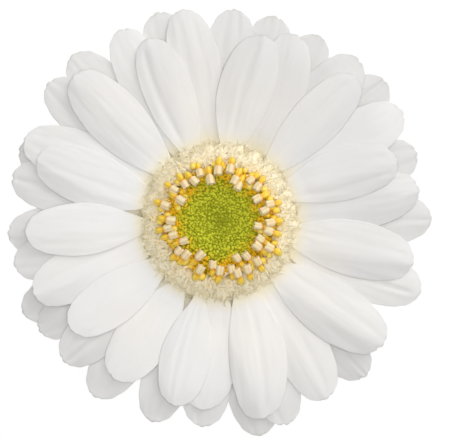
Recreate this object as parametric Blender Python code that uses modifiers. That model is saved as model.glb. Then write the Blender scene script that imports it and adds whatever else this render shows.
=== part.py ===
"""Gerbera daisy: one white flower head, face up on a short cut stub of its scape.

The head is built as it grows. The scape carries a receptacle, three rows of green bracts
cup it from below, four overlapping rows of ray florets stand out round its side, and on
its top lie the ivory pappus, two rows of open disc florets and the dome of buds.
Metres, +Z up. The origin is at the middle of the cut face of the scape.
"""
import math

import bmesh
import bpy
from mathutils import Vector
from mathutils.bvhtree import BVHTree

MM = 0.001
SEAT_GAP = 0.3 * MM

# Scape, the leafless flower stalk, cut short.
SCAPE_LENGTH = 5.0 * MM
SCAPE_CUT_RADIUS = 3.9 * MM
SCAPE_TOP_RADIUS = 4.3 * MM
SCAPE_SIDES = 20

# Receptacle: a flared cup, as (radius, height) points, with an upright rim above it.
RECEPTACLE_BASE = SCAPE_LENGTH + SEAT_GAP
RECEPTACLE_CUP = (
    (4.6 * MM, RECEPTACLE_BASE),
    (7.6 * MM, 6.8 * MM),
    (11.0 * MM, 9.4 * MM),
    (13.4 * MM, 11.9 * MM),
    (14.7 * MM, 13.0 * MM),
)
RECEPTACLE_RADIUS = RECEPTACLE_CUP[-1][0]
RECEPTACLE_RIM = 17.3 * MM
RECEPTACLE_CROWN = 17.7 * MM
RECEPTACLE_SIDES = 32

# Rows of bracts from the inside out: name, count, the cup point that they start from,
# and how far their free tips reach out and up past the cup.
BRACT_THICKNESS = 0.7 * MM
BRACT_NOTCH = 0.15
BRACT_ROWS = (
    ("inner_bracts", 16, 2, 6.2 * MM, -0.6 * MM),
    ("middle_bracts", 14, 1, 3.4 * MM, 0.3 * MM),
    ("outer_bracts", 12, 0, 2.2 * MM, 1.8 * MM),
)

# Ray florets: a strap that rises from the receptacle, levels out past its middle and nods.
RAY_ROOT_RADIUS = RECEPTACLE_RADIUS + SEAT_GAP
RAY_ROOT_HEIGHT = 13.9 * MM
RAY_LONGEST = 51.7 * MM
RAY_WIDEST = 13.8 * MM
RAY_RISE = 1.8 * MM
RAY_CREST = 0.6
RAY_NOD = 0.5 * MM
RAY_NOD_POWER = 10
RAY_CAMBER = 0.5 * MM
RAY_THICKNESS = 0.4 * MM
RAY_TIP_PULL = 0.9 * MM
RAY_PULL_POWER = 8
RAY_COLUMNS = 4

# Stations along a ray, as a share of its length, and its width there as a share of its widest.
RAY_STATIONS = (
    (0.0, 0.2),
    (0.17, 0.56),
    (0.36, 0.87),
    (0.56, 1.0),
    (0.76, 0.92),
    (0.91, 0.69),
    (1.0, 0.31),
)

# How far the pile of rays opens out from one level to the next, at the root and further out.
LEVEL_AT_ROOT = 3.5 * MM
LEVEL_GROWTH = 4.0 * MM
LEVEL_REACH = 12.0 * MM
LEVEL_POWER = 1.6
SETTLE_STEPS = 5
SETTLE_SIDE = 0.1
SETTLE_MARGIN = 0.05 * MM
SETTLE_CEILING = 60.0 * MM

# Rays in the order in which they lie on each other, row by row from the lowest:
# root angle and turn towards the tip in degrees, reach and width in millimetres,
# and how slender the root half is.
RAY_ROWS = (
    (
        (40.0, 0.0, 50.8, 13.0, 1.0),
        (313.5, 0.0, 49.9, 12.6, 1.0),
        (281.0, 0.0, 51.0, 12.6, 1.0),
        (205.0, 0.0, 50.6, 12.0, 1.0),
        (160.0, 0.0, 49.6, 12.6, 1.0),
        (74.5, 0.0, 49.6, 12.6, 1.0),
        (106.5, 0.0, 50.8, 12.6, 1.0),
        (131.5, 0.0, 51.7, 12.8, 1.0),
        (19.0, 0.0, 48.9, 12.6, 1.0),
        (61.5, 0.0, 49.2, 12.0, 1.0),
        (211.5, 0.0, 49.2, 12.0, 1.0),
    ),
    (
        (251.5, 0.0, 49.4, 12.0, 1.0),
        (234.5, 0.0, 50.3, 12.6, 1.0),
        (183.5, 0.0, 49.4, 12.4, 1.0),
        (265.5, 0.0, 48.2, 12.5, 1.0),
        (141.3, 0.0, 51.3, 12.6, 1.0),
        (86.0, 0.0, 49.6, 12.6, 1.0),
        (288.5, 0.0, 50.1, 12.6, 1.0),
        (168.0, 0.0, 49.4, 13.0, 1.0),
        (0.8, 0.0, 49.6, 12.8, 1.0),
        (49.5, 0.0, 49.9, 13.4, 1.0),
        (192.0, 0.0, 48.9, 12.4, 1.0),
        (222.0, 0.0, 48.9, 12.6, 1.0),
    ),
    (
        (117.5, 0.0, 50.3, 12.4, 1.0),
        (304.5, -3.0, 48.5, 13.0, 1.0),
        (97.5, 2.2, 50.1, 12.4, 1.0),
        (340.5, 0.0, 49.9, 13.0, 1.0),
        (269.0, -4.0, 44.3, 12.8, 1.0),
        (6.0, 3.0, 47.3, 12.8, 1.0),
        (154.0, 3.0, 49.3, 12.8, 1.0),
        (31.0, 0.0, 49.9, 13.0, 1.0),
        (198.0, 3.5, 46.6, 12.8, 1.0),
        (62.0, 5.5, 47.1, 12.6, 1.0),
    ),
    (
        (238.0, -1.5, 44.3, 13.1, 1.3),
        (290.0, -7.5, 47.3, 13.6, 1.0),
        (111.5, 0.0, 45.7, 11.6, 1.0),
        (136.0, -1.0, 48.0, 13.3, 1.0),
        (163.0, -2.0, 44.9, 13.0, 1.0),
        (320.0, 3.0, 48.0, 13.8, 1.0),
        (349.0, -1.0, 46.4, 13.2, 1.0),
        (256.0, 0.5, 44.4, 12.0, 1.9),
        (217.0, -1.0, 42.9, 12.0, 1.0),
        (23.0, -4.0, 44.0, 12.6, 1.0),
        (46.0, 0.3, 46.4, 11.6, 1.0),
        (81.0, -4.5, 44.5, 13.0, 1.0),
        (183.5, 0.0, 45.3, 11.0, 1.3),
    ),
)

# Pappus, the fringe over the roots of the rays, as (radius, height) points.
PAPPUS_TEETH = 40
PAPPUS_FOOT = (14.5 * MM, 17.9 * MM)
PAPPUS_CREST = (15.4 * MM, 20.3 * MM)
PAPPUS_TIP = (18.6 * MM, 18.9 * MM)
PAPPUS_VALLEY = (17.1 * MM, 18.8 * MM)
PAPPUS_UNDERSIDE = (16.9 * MM, 17.9 * MM)

# Rows of open disc florets: name, count, inner and outer radius and height of the tips.
FLORET_LEAN = 0.5 * MM
FLORET_NOTCH = 2.0 * MM
FLORET_ROWS = (
    ("inner_disc_florets", 22, 10.7 * MM, 12.3 * MM, 23.6 * MM),
    ("outer_disc_florets", 22, 12.7 * MM, 14.2 * MM, 23.2 * MM),
)

# Dome of disc buds, as rings of (radius, height) with knobs on them.
BUD_SPOKES = 14
BUD_KNOB = 0.3 * MM
BUD_RINGS = (
    (9.8 * MM, 19.9 * MM),
    (8.4 * MM, 20.7 * MM),
    (6.8 * MM, 21.0 * MM),
    (5.2 * MM, 21.0 * MM),
    (3.6 * MM, 20.8 * MM),
)
BUD_EYE = (1.8 * MM, 20.6 * MM)


def remove_all_objects():
    """Empty the scene, so that the script can be run again."""
    for item in list(bpy.data.objects):
        bpy.data.objects.remove(item, do_unlink=True)


def make_collection(name):
    """A fresh collection in the scene."""
    collection = bpy.data.collections.new(name)
    bpy.context.scene.collection.children.link(collection)
    return collection


def make_material(name, colour, roughness):
    """A plain finish with a linear colour."""
    material = bpy.data.materials.new(name)
    material.use_nodes = True
    shader = material.node_tree.nodes["Principled BSDF"]
    shader.inputs["Base Color"].default_value = (*colour, 1.0)
    shader.inputs["Roughness"].default_value = roughness
    shader.inputs["Metallic"].default_value = 0.0
    return material


def add_object(name, shape, material, collection):
    """Turn a bmesh into a smooth-shaded object of the collection."""
    mesh = bpy.data.meshes.new(name)
    shape.to_mesh(mesh)
    shape.free()
    mesh.shade_smooth()
    mesh.materials.append(material)
    item = bpy.data.objects.new(name, mesh)
    collection.objects.link(item)
    return item


def add_wall(item, thickness, side):
    """Thicken an open surface, on the side of its normals (1) or away from them (-1)."""
    wall = item.modifiers.new("wall", "SOLIDIFY")
    wall.thickness = thickness
    wall.offset = side
    wall.use_even_offset = True


def add_turned(name, profile, sides, material, collection):
    """A solid of revolution from a (radius, height) outline that runs top to bottom."""
    shape = bmesh.new()
    points = [shape.verts.new((radius, 0.0, height)) for radius, height in profile]
    for first, second in zip(points, points[1:]):
        shape.edges.new((first, second))
    item = add_object(name, shape, material, collection)
    screw = item.modifiers.new("turn", "SCREW")
    screw.steps = sides
    screw.render_steps = sides
    screw.use_merge_vertices = True
    screw.merge_threshold = 0.05 * MM


def toothed_ring(count, high, low):
    """A ring of points that goes to and fro between two (radius, height) places."""
    ring = []
    for index in range(2 * count):
        radius, height = low if index % 2 else high
        angle = math.pi * index / count
        ring.append((radius * math.cos(angle), radius * math.sin(angle), height))
    return ring


def lofted(rings, closed=False, capped=False):
    """Skin rings of equal count, from the outside up and in, so that faces point outward."""
    shape = bmesh.new()
    loops = [[shape.verts.new(point) for point in ring] for ring in rings]
    pairs = list(zip(loops, loops[1:]))
    if closed:
        pairs.append((loops[-1], loops[0]))
    for lower, upper in pairs:
        for index in range(len(lower)):
            after = (index + 1) % len(lower)
            shape.faces.new((lower[index], lower[after], upper[after], upper[index]))
    if capped:
        shape.faces.new(reversed(loops[0]))
        shape.faces.new(loops[-1])
    return shape


def make_scape(collection):
    """The stub of the stalk, cut square at the bottom."""
    green = make_material("scape_green", (0.20, 0.30, 0.08), 0.6)
    profile = (
        (0.0, SCAPE_LENGTH),
        (SCAPE_TOP_RADIUS, SCAPE_LENGTH),
        (SCAPE_CUT_RADIUS, SCAPE_LENGTH / 2.0),
        (SCAPE_CUT_RADIUS, 0.0),
        (0.0, 0.0),
    )
    add_turned("scape", profile, SCAPE_SIDES, green, collection)


def make_receptacle(collection):
    """The solid cup that everything else grows on."""
    green = make_material("receptacle_green", (0.32, 0.38, 0.12), 0.6)
    shoulder = RECEPTACLE_RADIUS - (RECEPTACLE_CROWN - RECEPTACLE_RIM)
    top = [(0.0, RECEPTACLE_CROWN), (shoulder, RECEPTACLE_CROWN), (RECEPTACLE_RADIUS, RECEPTACLE_RIM)]
    profile = top + list(reversed(RECEPTACLE_CUP)) + [(0.0, RECEPTACLE_BASE)]
    add_turned("receptacle", profile, RECEPTACLE_SIDES, green, collection)


def offset_cup(distance):
    """The outline of the cup, moved outward and down by a distance."""
    points = [Vector((radius, 0.0, height)) for radius, height in RECEPTACLE_CUP]
    moved = []
    for index, point in enumerate(points):
        before = points[max(index - 1, 0)]
        after = points[min(index + 1, len(points) - 1)]
        along = (after - before).normalized()
        moved.append((point.x + distance * along.z, point.z - distance * along.x))
    return moved


def make_bracts(collection):
    """Three rows of bracts, each one cup with free pointed tips, one outside the other."""
    green = make_material("bract_green", (0.16, 0.27, 0.07), 0.65)
    depth = SEAT_GAP
    for name, count, start, out, rise in BRACT_ROWS:
        foot, belly, edge = offset_cup(depth)[start:start + 3]
        tip = (edge[0] + out, edge[1] + rise)
        valley = (edge[0] + BRACT_NOTCH * out, edge[1] + BRACT_NOTCH * rise)
        rings = [toothed_ring(count, place, place) for place in (foot, belly, edge)]
        rings.append(toothed_ring(count, tip, valley))
        row = add_object(name, lofted(rings), green, collection)
        add_wall(row, BRACT_THICKNESS, 1.0)
        depth += BRACT_THICKNESS + SEAT_GAP


def level_height(radius):
    """How far up one whole level of the pile of rays reaches at a radius."""
    share = (max(radius - RAY_ROOT_RADIUS, 0.0) / LEVEL_REACH) ** LEVEL_POWER
    return LEVEL_AT_ROOT + LEVEL_GROWTH * (1.0 - math.exp(-share))


def lowest_height(radius):
    """The height of a ray that nothing lifts."""
    share = (radius - RAY_ROOT_RADIUS) / (RAY_LONGEST - RAY_ROOT_RADIUS)
    return RAY_ROOT_HEIGHT + RAY_RISE * share * (2.0 * RAY_CREST - share) / RAY_CREST ** 2


def ray_face(ray):
    """The upper face of a ray, as rows of (point at the lowest level, height of a level)."""
    root_angle, turn, reach, width, slender = ray
    length = reach * MM - RAY_ROOT_RADIUS
    rows = []
    for along, share in RAY_STATIONS:
        half = 0.5 * width * MM * share ** (slender if along < 0.5 else 1.0)
        camber = RAY_CAMBER * (2.0 * half / RAY_WIDEST) ** 2
        nod = RAY_NOD * along ** RAY_NOD_POWER
        angle = math.radians(root_angle + turn * along)
        row = []
        for column in range(RAY_COLUMNS + 1):
            across = 1.0 - 2.0 * column / RAY_COLUMNS
            pull = RAY_TIP_PULL * along ** RAY_PULL_POWER * across ** 2
            forward = RAY_ROOT_RADIUS + along * length - pull
            x = forward * math.cos(angle) - half * across * math.sin(angle)
            y = forward * math.sin(angle) + half * across * math.cos(angle)
            radius = math.hypot(x, y)
            point = Vector((x, y, lowest_height(radius) - camber * across ** 2 - nod))
            row.append((point, level_height(radius)))
        rows.append(row)
    return rows


def between(first, second, share):
    """A place part of the way from one place on a ray's face to another."""
    return first[0].lerp(second[0], share), first[1] + share * (second[1] - first[1])


def place_on(rows, row_place, column_place):
    """The place on a ray's face at a row and a column that may lie between its points."""
    row = min(int(row_place), len(rows) - 2)
    column = min(max(int(column_place), 0), RAY_COLUMNS - 1)
    share = column_place - column
    near = between(rows[row][column], rows[row][column + 1], share)
    far = between(rows[row + 1][column], rows[row + 1][column + 1], share)
    return between(near, far, row_place - row)


def level_above(rows, below):
    """The lowest level at which a ray clears the rays below it."""
    clearance = RAY_THICKNESS + SEAT_GAP + SETTLE_MARGIN
    columns = [step / SETTLE_STEPS for step in range(RAY_COLUMNS * SETTLE_STEPS + 1)]
    columns += [-SETTLE_SIDE, RAY_COLUMNS + SETTLE_SIDE]
    level = 0.0
    for step in range((len(rows) - 1) * SETTLE_STEPS + 1):
        for column in columns:
            point, height = place_on(rows, step / SETTLE_STEPS, column)
            above = Vector((point.x, point.y, SETTLE_CEILING))
            hit = below.ray_cast(above, Vector((0.0, 0.0, -1.0)))[0]
            if hit is not None:
                level = max(level, (hit.z + clearance - point.z) / height)
    return level


def settle_rays(rays):
    """Lay the rays down one after another, each just clear of those below it."""
    points = []
    faces = []
    settled = []
    stride = RAY_COLUMNS + 1
    for ray in rays:
        rows = ray_face(ray)
        level = level_above(rows, BVHTree.FromPolygons(points, faces)) if faces else 0.0
        face = []
        for row in rows:
            face.append([point + Vector((0.0, 0.0, level * height)) for point, height in row])
        for row in range(len(face) - 1):
            for column in range(RAY_COLUMNS):
                corner = len(points) + row * stride + column
                faces.append((corner, corner + 1, corner + stride + 1, corner + stride))
        points.extend(point for row in face for point in row)
        settled.append(face)
    return settled


def make_rays(collection):
    """Every ray floret as a cambered strap with a wall of even thickness."""
    white = make_material("ray_white", (0.86, 0.85, 0.82), 0.5)
    last_row = len(RAY_STATIONS) - 1
    rays = [ray for row in RAY_ROWS for ray in row]
    for number, face in enumerate(settle_rays(rays), start=1):
        shape = bmesh.new()
        bmesh.ops.create_grid(shape, x_segments=last_row, y_segments=RAY_COLUMNS, size=1.0)
        for vertex in shape.verts:
            row = round((vertex.co.x + 1.0) / 2.0 * last_row)
            column = round((1.0 - vertex.co.y) / 2.0 * RAY_COLUMNS)
            vertex.co = face[row][column]
        strap = add_object(f"ray_floret_{number:02d}", shape, white, collection)
        add_wall(strap, RAY_THICKNESS, -1.0)


def make_pappus(collection):
    """The ivory fringe that lies over the roots of the rays."""
    ivory = make_material("pappus_ivory", (0.80, 0.72, 0.48), 0.7)
    rings = (
        toothed_ring(PAPPUS_TEETH, PAPPUS_UNDERSIDE, PAPPUS_UNDERSIDE),
        toothed_ring(PAPPUS_TEETH, PAPPUS_TIP, PAPPUS_VALLEY),
        toothed_ring(PAPPUS_TEETH, PAPPUS_CREST, PAPPUS_CREST),
        toothed_ring(PAPPUS_TEETH, PAPPUS_FOOT, PAPPUS_FOOT),
    )
    add_object("pappus", lofted(rings, closed=True), ivory, collection)


def make_disc_florets(collection):
    """Two rings of open disc florets, whose anther tubes lean inward."""
    cream = make_material("anther_cream", (0.83, 0.66, 0.40), 0.5)
    foot = RECEPTACLE_CROWN + SEAT_GAP
    for name, count, inner, outer, top in FLORET_ROWS:
        middle = 0.5 * (inner + outer)
        low = top - FLORET_NOTCH
        rings = (
            toothed_ring(count, (outer, foot), (outer, foot)),
            toothed_ring(count, (middle, top), (middle + FLORET_LEAN, low)),
            toothed_ring(count, (inner - FLORET_LEAN, top), (inner, low)),
            toothed_ring(count, (inner, foot), (inner, foot)),
        )
        add_object(name, lofted(rings, closed=True), cream, collection)


def make_disc_buds(collection):
    """The dome of closed buds: rings of low knobs round a flat eye."""
    green = make_material("bud_green", (0.42, 0.43, 0.05), 0.6)
    edge = (BUD_RINGS[0][0], RECEPTACLE_CROWN + SEAT_GAP)
    rings = [toothed_ring(BUD_SPOKES, edge, edge)]
    knob = BUD_KNOB
    for radius, height in BUD_RINGS:
        rings.append(toothed_ring(BUD_SPOKES, (radius, height + knob), (radius, height - knob)))
        knob = -knob
    rings.append(toothed_ring(BUD_SPOKES, BUD_EYE, BUD_EYE))
    add_object("disc_buds", lofted(rings, capped=True), green, collection)


def main():
    """Build the whole head."""
    remove_all_objects()
    collection = make_collection("gerbera_daisy")
    make_scape(collection)
    make_receptacle(collection)
    make_bracts(collection)
    make_rays(collection)
    make_pappus(collection)
    make_disc_florets(collection)
    make_disc_buds(collection)


if __name__ == "__main__":
    main()
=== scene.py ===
"""Gerbera daisy: the finish of one white flower head, laid over the solids of its parts.

Each solid ray floret gives the place, width and arch of one thin ray petal. The disc, its
fringe and the green cup below are grown from small blooms, bristles and leaves, which
Geometry Nodes repeat in spirals and rings. Metres, +Z up.
"""

import math
import random

import bpy
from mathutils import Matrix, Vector
from mathutils.noise import noise


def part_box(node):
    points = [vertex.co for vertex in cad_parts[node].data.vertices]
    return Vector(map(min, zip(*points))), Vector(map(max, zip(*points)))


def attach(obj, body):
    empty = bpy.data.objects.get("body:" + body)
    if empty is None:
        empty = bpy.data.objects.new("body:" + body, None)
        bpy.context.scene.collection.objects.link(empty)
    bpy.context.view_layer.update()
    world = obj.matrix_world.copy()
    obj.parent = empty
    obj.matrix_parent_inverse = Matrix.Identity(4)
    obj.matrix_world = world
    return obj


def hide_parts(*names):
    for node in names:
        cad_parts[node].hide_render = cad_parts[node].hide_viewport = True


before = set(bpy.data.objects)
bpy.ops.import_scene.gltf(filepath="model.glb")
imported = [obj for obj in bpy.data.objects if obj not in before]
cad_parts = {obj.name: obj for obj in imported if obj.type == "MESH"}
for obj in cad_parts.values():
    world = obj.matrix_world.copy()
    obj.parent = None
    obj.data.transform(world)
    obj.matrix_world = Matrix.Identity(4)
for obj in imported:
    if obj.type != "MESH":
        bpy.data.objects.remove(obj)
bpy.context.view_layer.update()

bl_info = {
    "name": "Gerbera Daisy",
    "version": (1, 0, 0),
    "blender": (4, 5, 0),
    "location": "View3D > Sidebar > Daisy",
    "description": "Makes the petals, disc, fringe and bracts of a gerbera flower head",
    "category": "Add Mesh",
}

MM = 0.001
FULL_TURN = 2.0 * math.pi
GOLDEN_ANGLE = math.pi * (3.0 - math.sqrt(5.0))


def linear(code):
    """The linear colour of an sRGB hex code."""
    colour = []
    for start in (1, 3, 5):
        part = int(code[start:start + 2], 16) / 255.0
        colour.append(part / 12.92 if part <= 0.04045 else ((part + 0.055) / 1.055) ** 2.4)
    return tuple(colour)


def colour_property(name, description, code):
    """A colour that the sidebar shows, from an sRGB hex code."""
    return bpy.props.FloatVectorProperty(
        name=name, description=description, default=linear(code), size=3, min=0.0, max=1.0, subtype="COLOR")


def length_property(name, description, default):
    """A length that the sidebar shows, in metres."""
    return bpy.props.FloatProperty(
        name=name, description=description, default=default, min=0.0, precision=5,
        subtype="DISTANCE", unit="LENGTH")


def number_property(name, description, default, **limits):
    """A count or a plain number that the sidebar shows."""
    kind = bpy.props.IntProperty if isinstance(default, int) else bpy.props.FloatProperty
    return kind(name=name, description=description, default=default, **limits)


# ---------------------------------------------------------------- settings


class PetalSettings(bpy.types.PropertyGroup):
    """Sizes and colours of the ray petals."""

    body: length_property("Body", "Thickness of a petal along its middle", 0.28 * MM)
    edge: length_property("Edge", "Thickness of a petal at its rim", 0.2 * MM)
    groove: length_property("Groove", "Depth of the grooves between a petal's three lobes", 0.12 * MM)
    ripple: length_property("Ripple", "How far the rims wave up and down", 0.1 * MM)
    sway: length_property("Sway", "How far a petal waves up and down along its length", 0.1 * MM)
    notch: length_property("Notch", "Depth of the small teeth at the tips", 0.5 * MM)
    columns: number_property("Columns", "Faces across a petal", 28, min=4)
    rows: number_property("Rows", "Faces along a petal", 60, min=8)
    cool: colour_property("Cool white", "The cooler patches of the skin", "#F4F3F2")
    warm: colour_property("Warm white", "The warmer patches of the skin", "#F9F4EE")
    tip: colour_property("Tip white", "The skin towards the tips", "#ECEBEA")
    vein: colour_property("Vein", "The fine lines between the veins", "#E9E7E2")
    # Painted shade: the lowest petals are drawn greyer, standing in for the shade that the petals above cast
    # on them.
    lower_row_shade: colour_property("Old white", "The skin of the lowest petals, which opened first", "#DFDEDD")
    base: colour_property("Base", "The claw of the petal, under the fringe", "#F5EBCE")
    # Painted shade: the claws of the lowest petals are drawn brownish grey, standing in for the shade in the
    # gaps under the fringe.
    lower_claw_shade: colour_property("Old base", "The claws of the lowest petals", "#D6D0B8")
    # The rim is drawn greyer: partly the thin edge's own colour, partly painted shade, most on the lowest
    # petals.
    rim: colour_property("Rim", "The thin rim, which lets the light through", "#C6C8C0")


class DiscSettings(bpy.types.PropertyGroup):
    """Sizes and colours of the buds and open florets of the disc."""

    buds: number_property("Buds", "Closed buds in the eye", 1500, min=10)
    bud_size: number_property("Bud size", "Scale of a closed bud", 1.0, min=0.1)
    knobs: number_property("Knobs", "Golden buds about to open", 95, min=10)
    # Painted shade: the feet of the buds, and the bed between them, are drawn in this darker green, standing
    # in for the shade between the buds.
    bud_shade_green: colour_property("Bud shade", "The lower sides of the buds", "#9A9C0C")
    bud_young: colour_property("Young bud", "The tips of the youngest buds", "#A9AE2C")
    bud_green: colour_property("Bud green", "The tips of the middle buds", "#D2D53C")
    bud_gold: colour_property("Bud gold", "The ripe buds at the rim of the eye", "#F0BE24")
    pollen: colour_property("Pollen", "The lower part of an open anther tube", "#FFD942")
    cream: colour_property("Cream", "The tip of an anther tube", "#F5E3B8")
    stripe: colour_property("Stripe", "The seams between the five anthers", "#F2E4D4")


class FringeSettings(bpy.types.PropertyGroup):
    """Sizes and colours of the pappus and the small lips in it."""

    bristles: number_property("Bristles", "Loose bristles on a square mm", 3.0, min=0.1)
    bristle_length: length_property("Bristle length", "Length of the longest loose bristles", 1.7 * MM)
    lips: number_property("Lips", "Curled lips among the bristles", 260, min=0)
    bristle: colour_property("Bristle", "The ends of the bristles", "#FFF7E0")
    # Painted shade: the feet of the bristles and the hollows of the felt are drawn darker, and the gaps
    # between clumps darkest, standing in for the shade among the bristles.
    shade: colour_property("Shade", "The feet of the bristles", "#F4E8C4")
    gap: colour_property("Gap", "The gaps between clumps of bristles", "#CFC08A")
    felt: colour_property("Felt", "The close bristles below the loose ones", "#FBF0CC")
    lip: colour_property("Lip", "The curled lips", "#FFF2D2")
    lip_foot: colour_property("Lip foot", "The feet of the curled lips", "#FFE27C")


class CupSettings(bpy.types.PropertyGroup):
    """Sizes and colours of the green parts under the petals."""

    hair_length: length_property("Hair length", "Length of the soft hairs", 0.9 * MM)
    bract: colour_property("Bract", "The green of the bracts", "#5C7838")
    bract_tip: colour_property("Bract tip", "The dry tips of the bracts", "#8C6A4E")
    bract_hair: colour_property("Bract hair", "The soft hairs of the bracts", "#C9CDB8")
    scape: colour_property("Scape", "The green of the stalk", "#7C9A50")
    scape_hair: colour_property("Scape hair", "The soft hairs of the stalk", "#CBD0B4")
    pith: colour_property("Pith", "The pale cut face of the stalk", "#C9D2A0")
    flesh: colour_property("Flesh", "The receptacle between the florets", "#A89C40")


class StageSettings(bpy.types.PropertyGroup):
    """The floor, the lamps and the camera."""

    floor: colour_property("Floor", "The paper that the flower stands on", "#FAFAFA")
    overhead: number_property("Overhead", "Power of the lamp above", 34.0, unit="POWER")
    key: number_property("Key", "Power of the lamp to one side", 92.0, unit="POWER")
    ambient: number_property("Ambient", "Strength of the even light", 0.21)
    width: length_property("Width", "Width that the camera takes in", 104.9 * MM)
    distance: length_property("Distance", "How far the camera stands from the petals", 2.0)


# ---------------------------------------------------------------- shared tools

# The kinds of node that the trees use most.
BUMP = "ShaderNodeBump"
MATH = "ShaderNodeMath"
MIX = "ShaderNodeMix"
NOISE = "ShaderNodeTexNoise"
RAMP = "ShaderNodeValToRGB"
RANGE = "ShaderNodeMapRange"
VECTOR = "ShaderNodeCombineXYZ"


def in_use(sockets, name=None):
    """The first socket that its node uses, of that name if one is given."""
    return next(socket for socket in sockets if socket.enabled and name in (None, socket.name))


def set_inputs(tree, node, inputs):
    """Give a node's inputs, by name or in order, values, sockets or other nodes' outputs."""
    for key, value in inputs.items() if isinstance(inputs, dict) else enumerate(inputs):
        socket = node.inputs[key] if isinstance(key, int) else in_use(node.inputs, key)
        if isinstance(value, bpy.types.Node):
            value = in_use(value.outputs)
        if isinstance(value, bpy.types.NodeSocket):
            tree.links.new(value, socket)
        else:
            socket.default_value = value


def add_node(tree, kind, inputs=(), stops=(), **settings):
    """Add a node, set it up and fill its inputs; a colour ramp runs through (place, colour) stops."""
    node = tree.nodes.new(kind)
    for name, value in settings.items():
        setattr(node, name, value)
    set_inputs(tree, node, inputs)
    for index, (place, colour) in enumerate(stops):
        marks = node.color_ramp.elements
        mark = marks[index] if index < len(marks) else marks.new(1.0)
        mark.position = place
        mark.color = rgba(colour)
    return node


def rgba(colour):
    """A colour with its alpha, as sockets take it."""
    return (*colour, 1.0)


def paint_over(tree, colour, *layers):
    """A colour with others laid over it in turn, each by its share."""
    for share, layer in layers:
        colour = add_node(tree, MIX, {"Factor": share, "A": colour, "B": layer}, data_type="RGBA")
    return colour


def new_material(name):
    """A material with its tree, and the Principled shader in it."""
    material = bpy.data.materials.new(name)
    material.use_nodes = True
    return material, material.node_tree, material.node_tree.nodes["Principled BSDF"]


def point_values(tree, *names):
    """The values that a mesh keeps at its points under these names."""
    return [add_node(tree, "ShaderNodeAttribute", attribute_name=name).outputs["Fac"] for name in names]


def seen_directly(tree):
    """1 on a ray that shows the backdrop itself, and 0 on one that lights the flower."""
    ray = add_node(tree, "ShaderNodeLightPath").outputs
    seen = add_node(tree, MATH, (ray["Is Camera Ray"], ray["Is Glossy Ray"]), operation="MAXIMUM")
    return add_node(tree, MATH, (seen, ray["Is Transmission Ray"]), operation="MAXIMUM")


def make_mesh(name, points, faces, values=None):
    """A smooth mesh with named values at its points."""
    mesh = bpy.data.meshes.new(name)
    mesh.from_pydata(points, [], faces)
    for key, numbers in (values or {}).items():
        mesh.attributes.new(key, "FLOAT", "POINT").data.foreach_set("value", numbers)
    mesh.shade_smooth()
    mesh.validate()
    return mesh


def add_piece(name, mesh, material, slot, *nodes):
    """Put a finished mesh in the scene, on the flower's one body, in place of its solids."""
    if not mesh.polygons:
        raise RuntimeError(f"{name} has no faces")
    if material is not None:
        mesh.materials.clear()
        mesh.materials.append(material)
    piece = bpy.data.objects.new(name, mesh)
    bpy.context.scene.collection.objects.link(piece)
    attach(piece, "root")
    if nodes:
        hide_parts(*nodes)


def circle(sides):
    """The cosine and sine of even steps round a circle, anticlockwise."""
    angles = [FULL_TURN * step / sides for step in range(sides)]
    return [(math.cos(angle), math.sin(angle)) for angle in angles]


def skin_rings(rings, cap_end=True):
    """Faces over rings of points that run anticlockwise as seen from the end, with capped ends."""
    count = len(rings[0])
    points = [point for ring in rings for point in ring]
    faces = []
    for row in range(len(rings) - 1):
        low, high = row * count, (row + 1) * count
        for index in range(count):
            after = (index + 1) % count
            faces.append((low + index, low + after, high + after, high + index))
    faces.append(tuple(reversed(range(count))))
    if cap_end:
        faces.append(tuple(range(len(points) - count, len(points))))
    return points, faces


def smooth_curve(stations, values):
    """A smooth function through values at rising stations."""
    steps = [(b - a) for a, b in zip(stations, stations[1:])]
    rises = [(b - a) / step for a, b, step in zip(values, values[1:], steps)]
    slopes = [rises[0]]
    for left, right, before, after in zip(steps, steps[1:], rises, rises[1:]):
        slopes.append((before * right + after * left) / (left + right))
    slopes.append(rises[-1])

    def read(place):
        index = max(i for i in range(len(steps)) if i == 0 or stations[i] <= place)
        step = steps[index]
        t = (place - stations[index]) / step
        start = values[index] * (1.0 + 2.0 * t) * (1.0 - t) ** 2
        end = values[index + 1] * t * t * (3.0 - 2.0 * t)
        turn = step * t * (1.0 - t) * (slopes[index] * (1.0 - t) - slopes[index + 1] * t)
        return start + end + turn

    return read


def ease(low, high, value):
    """0 below low, 1 above high and smooth between them."""
    t = min(max((value - low) / (high - low), 0.0), 1.0)
    return t * t * (3.0 - 2.0 * t)


def bell(value, middle, width):
    """A bell curve of height 1."""
    return math.exp(-((value - middle) / width) ** 2)


# ---------------------------------------------------------------- growing with Geometry Nodes

# How far the shade of like pieces varies, each way.
SHADE_SPREAD = 0.5


def new_tree(name, *sizes, counts=("Seed",)):
    """A tree that takes a mesh, a piece, a material, counts and sizes, and its inputs by name."""
    tree = bpy.data.node_groups.new(name, "GeometryNodeTree")
    kinds = {"Geometry": "Geometry", "Piece": "Object", "Material": "Material"}
    kinds.update({count: "Int" for count in counts})
    kinds.update({size: "Float" for size in sizes})
    for key, kind in kinds.items():
        tree.interface.new_socket(key, in_out="INPUT", socket_type=f"NodeSocket{kind}")
    tree.interface.new_socket("Geometry", in_out="OUTPUT", socket_type="NodeSocketGeometry")
    entry = tree.nodes.new("NodeGroupInput")
    return tree, {socket.name: socket for socket in entry.outputs if socket.name}


def end_tree(tree, inputs, instances):
    """Make the instances real, give them their material and send them out."""
    real = add_node(tree, "GeometryNodeRealizeInstances", {"Geometry": instances})
    dressed = add_node(tree, "GeometryNodeSetMaterial", {"Geometry": real, "Material": inputs["Material"]})
    tree.links.new(dressed.outputs[0], tree.nodes.new("NodeGroupOutput").inputs[0])


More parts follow.
